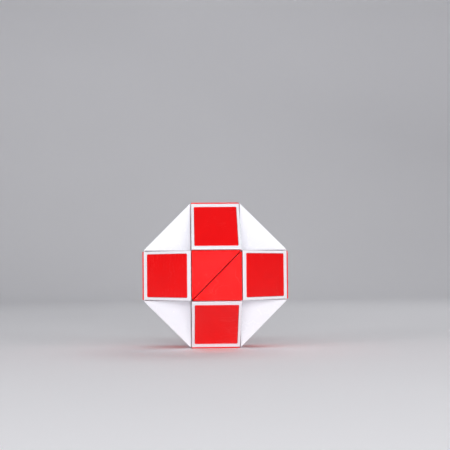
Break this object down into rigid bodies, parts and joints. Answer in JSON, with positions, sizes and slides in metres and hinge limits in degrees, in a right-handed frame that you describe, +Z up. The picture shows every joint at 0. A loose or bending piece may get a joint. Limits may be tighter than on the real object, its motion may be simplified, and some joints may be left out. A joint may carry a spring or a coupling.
{
  "type": "snake puzzle",
  "caption": "Twisty snake puzzle: a chain of right-angled red and white wedges on sprung turning joints, folded into a ball with square red faces.",
  "frame": {"origin": "under the middle of the folded ball, on the surface that it stands on", "axes": "+Z up, -Y the front of the ball, +X to the right seen from the front; the cells of the ball's grid lie along X, Y and Z"},
  "size_m": [0.0688, 0.0688, 0.0687],
  "materials": {
    "red_plastic": "glossy moulded ABS",
    "white_plastic": "glossy moulded ABS",
    "zinc_steel": "zinc-plated screws, washers and springs"
  },
  "bodies": {
    "wedge_01": {"wedge_01_red_shell": "red_plastic", "wedge_01_white_cover": "white_plastic"},
    "wedge_02": {"wedge_02_white_shell": "white_plastic", "wedge_02_red_cover": "red_plastic", "wedge_02_joint_screws": "zinc_steel"},
    "wedge_03": {"wedge_03_red_shell": "red_plastic", "wedge_03_white_cover": "white_plastic"},
    "wedge_04": {"wedge_04_white_shell": "white_plastic", "wedge_04_red_cover": "red_plastic", "wedge_04_joint_screws": "zinc_steel"},
    "wedge_05": {"wedge_05_red_shell": "red_plastic", "wedge_05_white_cover": "white_plastic"},
    "wedge_06": {"wedge_06_white_shell": "white_plastic", "wedge_06_red_cover": "red_plastic", "wedge_06_joint_screws": "zinc_steel"},
    "wedge_07": {"wedge_07_red_shell": "red_plastic", "wedge_07_white_cover": "white_plastic"},
    "wedge_08": {"wedge_08_white_shell": "white_plastic", "wedge_08_red_cover": "red_plastic", "wedge_08_joint_screws": "zinc_steel"},
    "wedge_09": {"wedge_09_red_shell": "red_plastic", "wedge_09_white_cover": "white_plastic"},
    "wedge_10": {"wedge_10_white_shell": "white_plastic", "wedge_10_red_cover": "red_plastic", "wedge_10_joint_screws": "zinc_steel"},
    "wedge_11": {"wedge_11_red_shell": "red_plastic", "wedge_11_white_cover": "white_plastic"},
    "wedge_12": {"wedge_12_white_shell": "white_plastic", "wedge_12_red_cover": "red_plastic", "wedge_12_joint_screws": "zinc_steel"},
    "wedge_13": {"wedge_13_red_shell": "red_plastic", "wedge_13_white_cover": "white_plastic"},
    "wedge_14": {"wedge_14_white_shell": "white_plastic", "wedge_14_red_cover": "red_plastic", "wedge_14_joint_screws": "zinc_steel"},
    "wedge_15": {"wedge_15_red_shell": "red_plastic", "wedge_15_white_cover": "white_plastic"},
    "wedge_16": {"wedge_16_white_shell": "white_plastic", "wedge_16_red_cover": "red_plastic", "wedge_16_joint_screws": "zinc_steel"},
    "wedge_17": {"wedge_17_red_shell": "red_plastic", "wedge_17_white_cover": "white_plastic"},
    "wedge_18": {"wedge_18_white_shell": "white_plastic", "wedge_18_red_cover": "red_plastic", "wedge_18_joint_screws": "zinc_steel"},
    "wedge_19": {"wedge_19_red_shell": "red_plastic", "wedge_19_white_cover": "white_plastic"},
    "wedge_20": {"wedge_20_white_shell": "white_plastic", "wedge_20_red_cover": "red_plastic", "wedge_20_joint_screws": "zinc_steel"},
    "wedge_21": {"wedge_21_red_shell": "red_plastic", "wedge_21_white_cover": "white_plastic"},
    "wedge_22": {"wedge_22_white_shell": "white_plastic", "wedge_22_red_cover": "red_plastic", "wedge_22_joint_screws": "zinc_steel"},
    "wedge_23": {"wedge_23_red_shell": "red_plastic", "wedge_23_white_cover": "white_plastic"},
    "wedge_24": {"wedge_24_white_shell": "white_plastic", "wedge_24_red_cover": "red_plastic", "wedge_24_joint_screws": "zinc_steel"}
  },
  "joints": [
    {"name": "twist_15_16", "type": "hinge", "parent": "wedge_16", "child": "wedge_15", "pos_m": [-0.023, 0.0115, 0.03435], "axis": [0, -1, 0], "range_deg": [0, 90]},
    {"name": "twist_16_17", "type": "hinge", "parent": "wedge_16", "child": "wedge_17", "pos_m": [-0.0115, 0.023, 0.03435], "axis": [-1, 0, 0], "range_deg": [0, 90]},
    {"name": "twist_14_15", "type": "hinge", "parent": "wedge_15", "child": "wedge_14", "pos_m": [-0.023, 0, 0.04585], "axis": [0, 0, -1], "range_deg": [0, 90]},
    {"name": "twist_17_18", "type": "hinge", "parent": "wedge_17", "child": "wedge_18", "pos_m": [0, 0.023, 0.04585], "axis": [0, 0, 1], "range_deg": [0, 90]},
    {"name": "twist_13_14", "type": "hinge", "parent": "wedge_14", "child": "wedge_13", "pos_m": [-0.0115, 0, 0.05735], "axis": [-1, 0, 0], "range_deg": [0, 90]},
    {"name": "twist_18_19", "type": "hinge", "parent": "wedge_18", "child": "wedge_19", "pos_m": [0, 0.0115, 0.05735], "axis": [0, -1, 0], "range_deg": [0, 90]},
    {"name": "twist_12_13", "type": "hinge", "parent": "wedge_13", "child": "wedge_12", "pos_m": [0, -0.0115, 0.05735], "axis": [0, -1, 0], "range_deg": [0, 90]},
    {"name": "twist_19_20", "type": "hinge", "parent": "wedge_19", "child": "wedge_20", "pos_m": [0.0115, 0, 0.05735], "axis": [-1, 0, 0], "range_deg": [0, 90]},
    {"name": "twist_11_12", "type": "hinge", "parent": "wedge_12", "child": "wedge_11", "pos_m": [0, -0.023, 0.04585], "axis": [0, 0, 1], "range_deg": [0, 90]},
    {"name": "twist_20_21", "type": "hinge", "parent": "wedge_20", "child": "wedge_21", "pos_m": [0.023, 0, 0.04585], "axis": [0, 0, -1], "range_deg": [0, 90]},
    {"name": "twist_10_11", "type": "hinge", "parent": "wedge_11", "child": "wedge_10", "pos_m": [-0.0115, -0.023, 0.03435], "axis": [-1, 0, 0], "range_deg": [0, 90]},
    {"name": "twist_21_22", "type": "hinge", "parent": "wedge_21", "child": "wedge_22", "pos_m": [0.023, 0.0115, 0.03435], "axis": [0, -1, 0], "range_deg": [0, 180]},
    {"name": "twist_09_10", "type": "hinge", "parent": "wedge_10", "child": "wedge_09", "pos_m": [-0.023, -0.0115, 0.03435], "axis": [0, 1, 0], "range_deg": [0, 90]},
    {"name": "twist_22_23", "type": "hinge", "parent": "wedge_22", "child": "wedge_23", "pos_m": [0.0115, 0.023, 0.03435], "axis": [1, 0, 0], "range_deg": [0, 90]},
    {"name": "twist_08_09", "type": "hinge", "parent": "wedge_09", "child": "wedge_08", "pos_m": [-0.023, 0, 0.02285], "axis": [0, 0, 1], "range_deg": [0, 90]},
    {"name": "twist_23_24", "type": "hinge", "parent": "wedge_23", "child": "wedge_24", "pos_m": [0, 0.023, 0.02285], "axis": [0, 0, -1], "range_deg": [0, 90]},
    {"name": "twist_07_08", "type": "hinge", "parent": "wedge_08", "child": "wedge_07", "pos_m": [-0.0115, 0, 0.01135], "axis": [1, 0, 0], "range_deg": [0, 90]},
    {"name": "twist_06_07", "type": "hinge", "parent": "wedge_07", "child": "wedge_06", "pos_m": [0, -0.0115, 0.01135], "axis": [0, 1, 0], "range_deg": [0, 90]},
    {"name": "twist_05_06", "type": "hinge", "parent": "wedge_06", "child": "wedge_05", "pos_m": [0, -0.023, 0.02285], "axis": [0, 0, -1], "range_deg": [0, 90]},
    {"name": "twist_04_05", "type": "hinge", "parent": "wedge_05", "child": "wedge_04", "pos_m": [0.0115, -0.023, 0.03435], "axis": [1, 0, 0], "range_deg": [0, 90]},
    {"name": "twist_03_04", "type": "hinge", "parent": "wedge_04", "child": "wedge_03", "pos_m": [0.023, -0.0115, 0.03435], "axis": [0, -1, 0], "range_deg": [0, 90]},
    {"name": "twist_02_03", "type": "hinge", "parent": "wedge_03", "child": "wedge_02", "pos_m": [0.023, 0, 0.02285], "axis": [0, 0, -1], "range_deg": [0, 90]},
    {"name": "twist_01_02", "type": "hinge", "parent": "wedge_02", "child": "wedge_01", "pos_m": [0.0115, 0, 0.01135], "axis": [-1, 0, 0], "range_deg": [0, 90]}
  ],
  "couplings": [
    {"joint": "twist_01_02", "follows": "twist_16_17", "ratio": 1},
    {"joint": "twist_04_05", "follows": "twist_16_17", "ratio": 1},
    {"joint": "twist_13_14", "follows": "twist_16_17", "ratio": 1},
    {"joint": "twist_02_03", "follows": "twist_14_15", "ratio": 1},
    {"joint": "twist_11_12", "follows": "twist_14_15", "ratio": 1},
    {"joint": "twist_23_24", "follows": "twist_14_15", "ratio": 1},
    {"joint": "twist_03_04", "follows": "twist_15_16", "ratio": 1},
    {"joint": "twist_06_07", "follows": "twist_15_16", "ratio": 1},
    {"joint": "twist_18_19", "follows": "twist_15_16", "ratio": 1},
    {"joint": "twist_05_06", "follows": "twist_17_18", "ratio": 1},
    {"joint": "twist_08_09", "follows": "twist_17_18", "ratio": 1},
    {"joint": "twist_20_21", "follows": "twist_17_18", "ratio": 1},
    {"joint": "twist_07_08", "follows": "twist_19_20", "ratio": 1},
    {"joint": "twist_10_11", "follows": "twist_19_20", "ratio": 1},
    {"joint": "twist_22_23", "follows": "twist_19_20", "ratio": 1},
    {"joint": "twist_09_10", "follows": "twist_12_13", "ratio": 1}
  ]
}
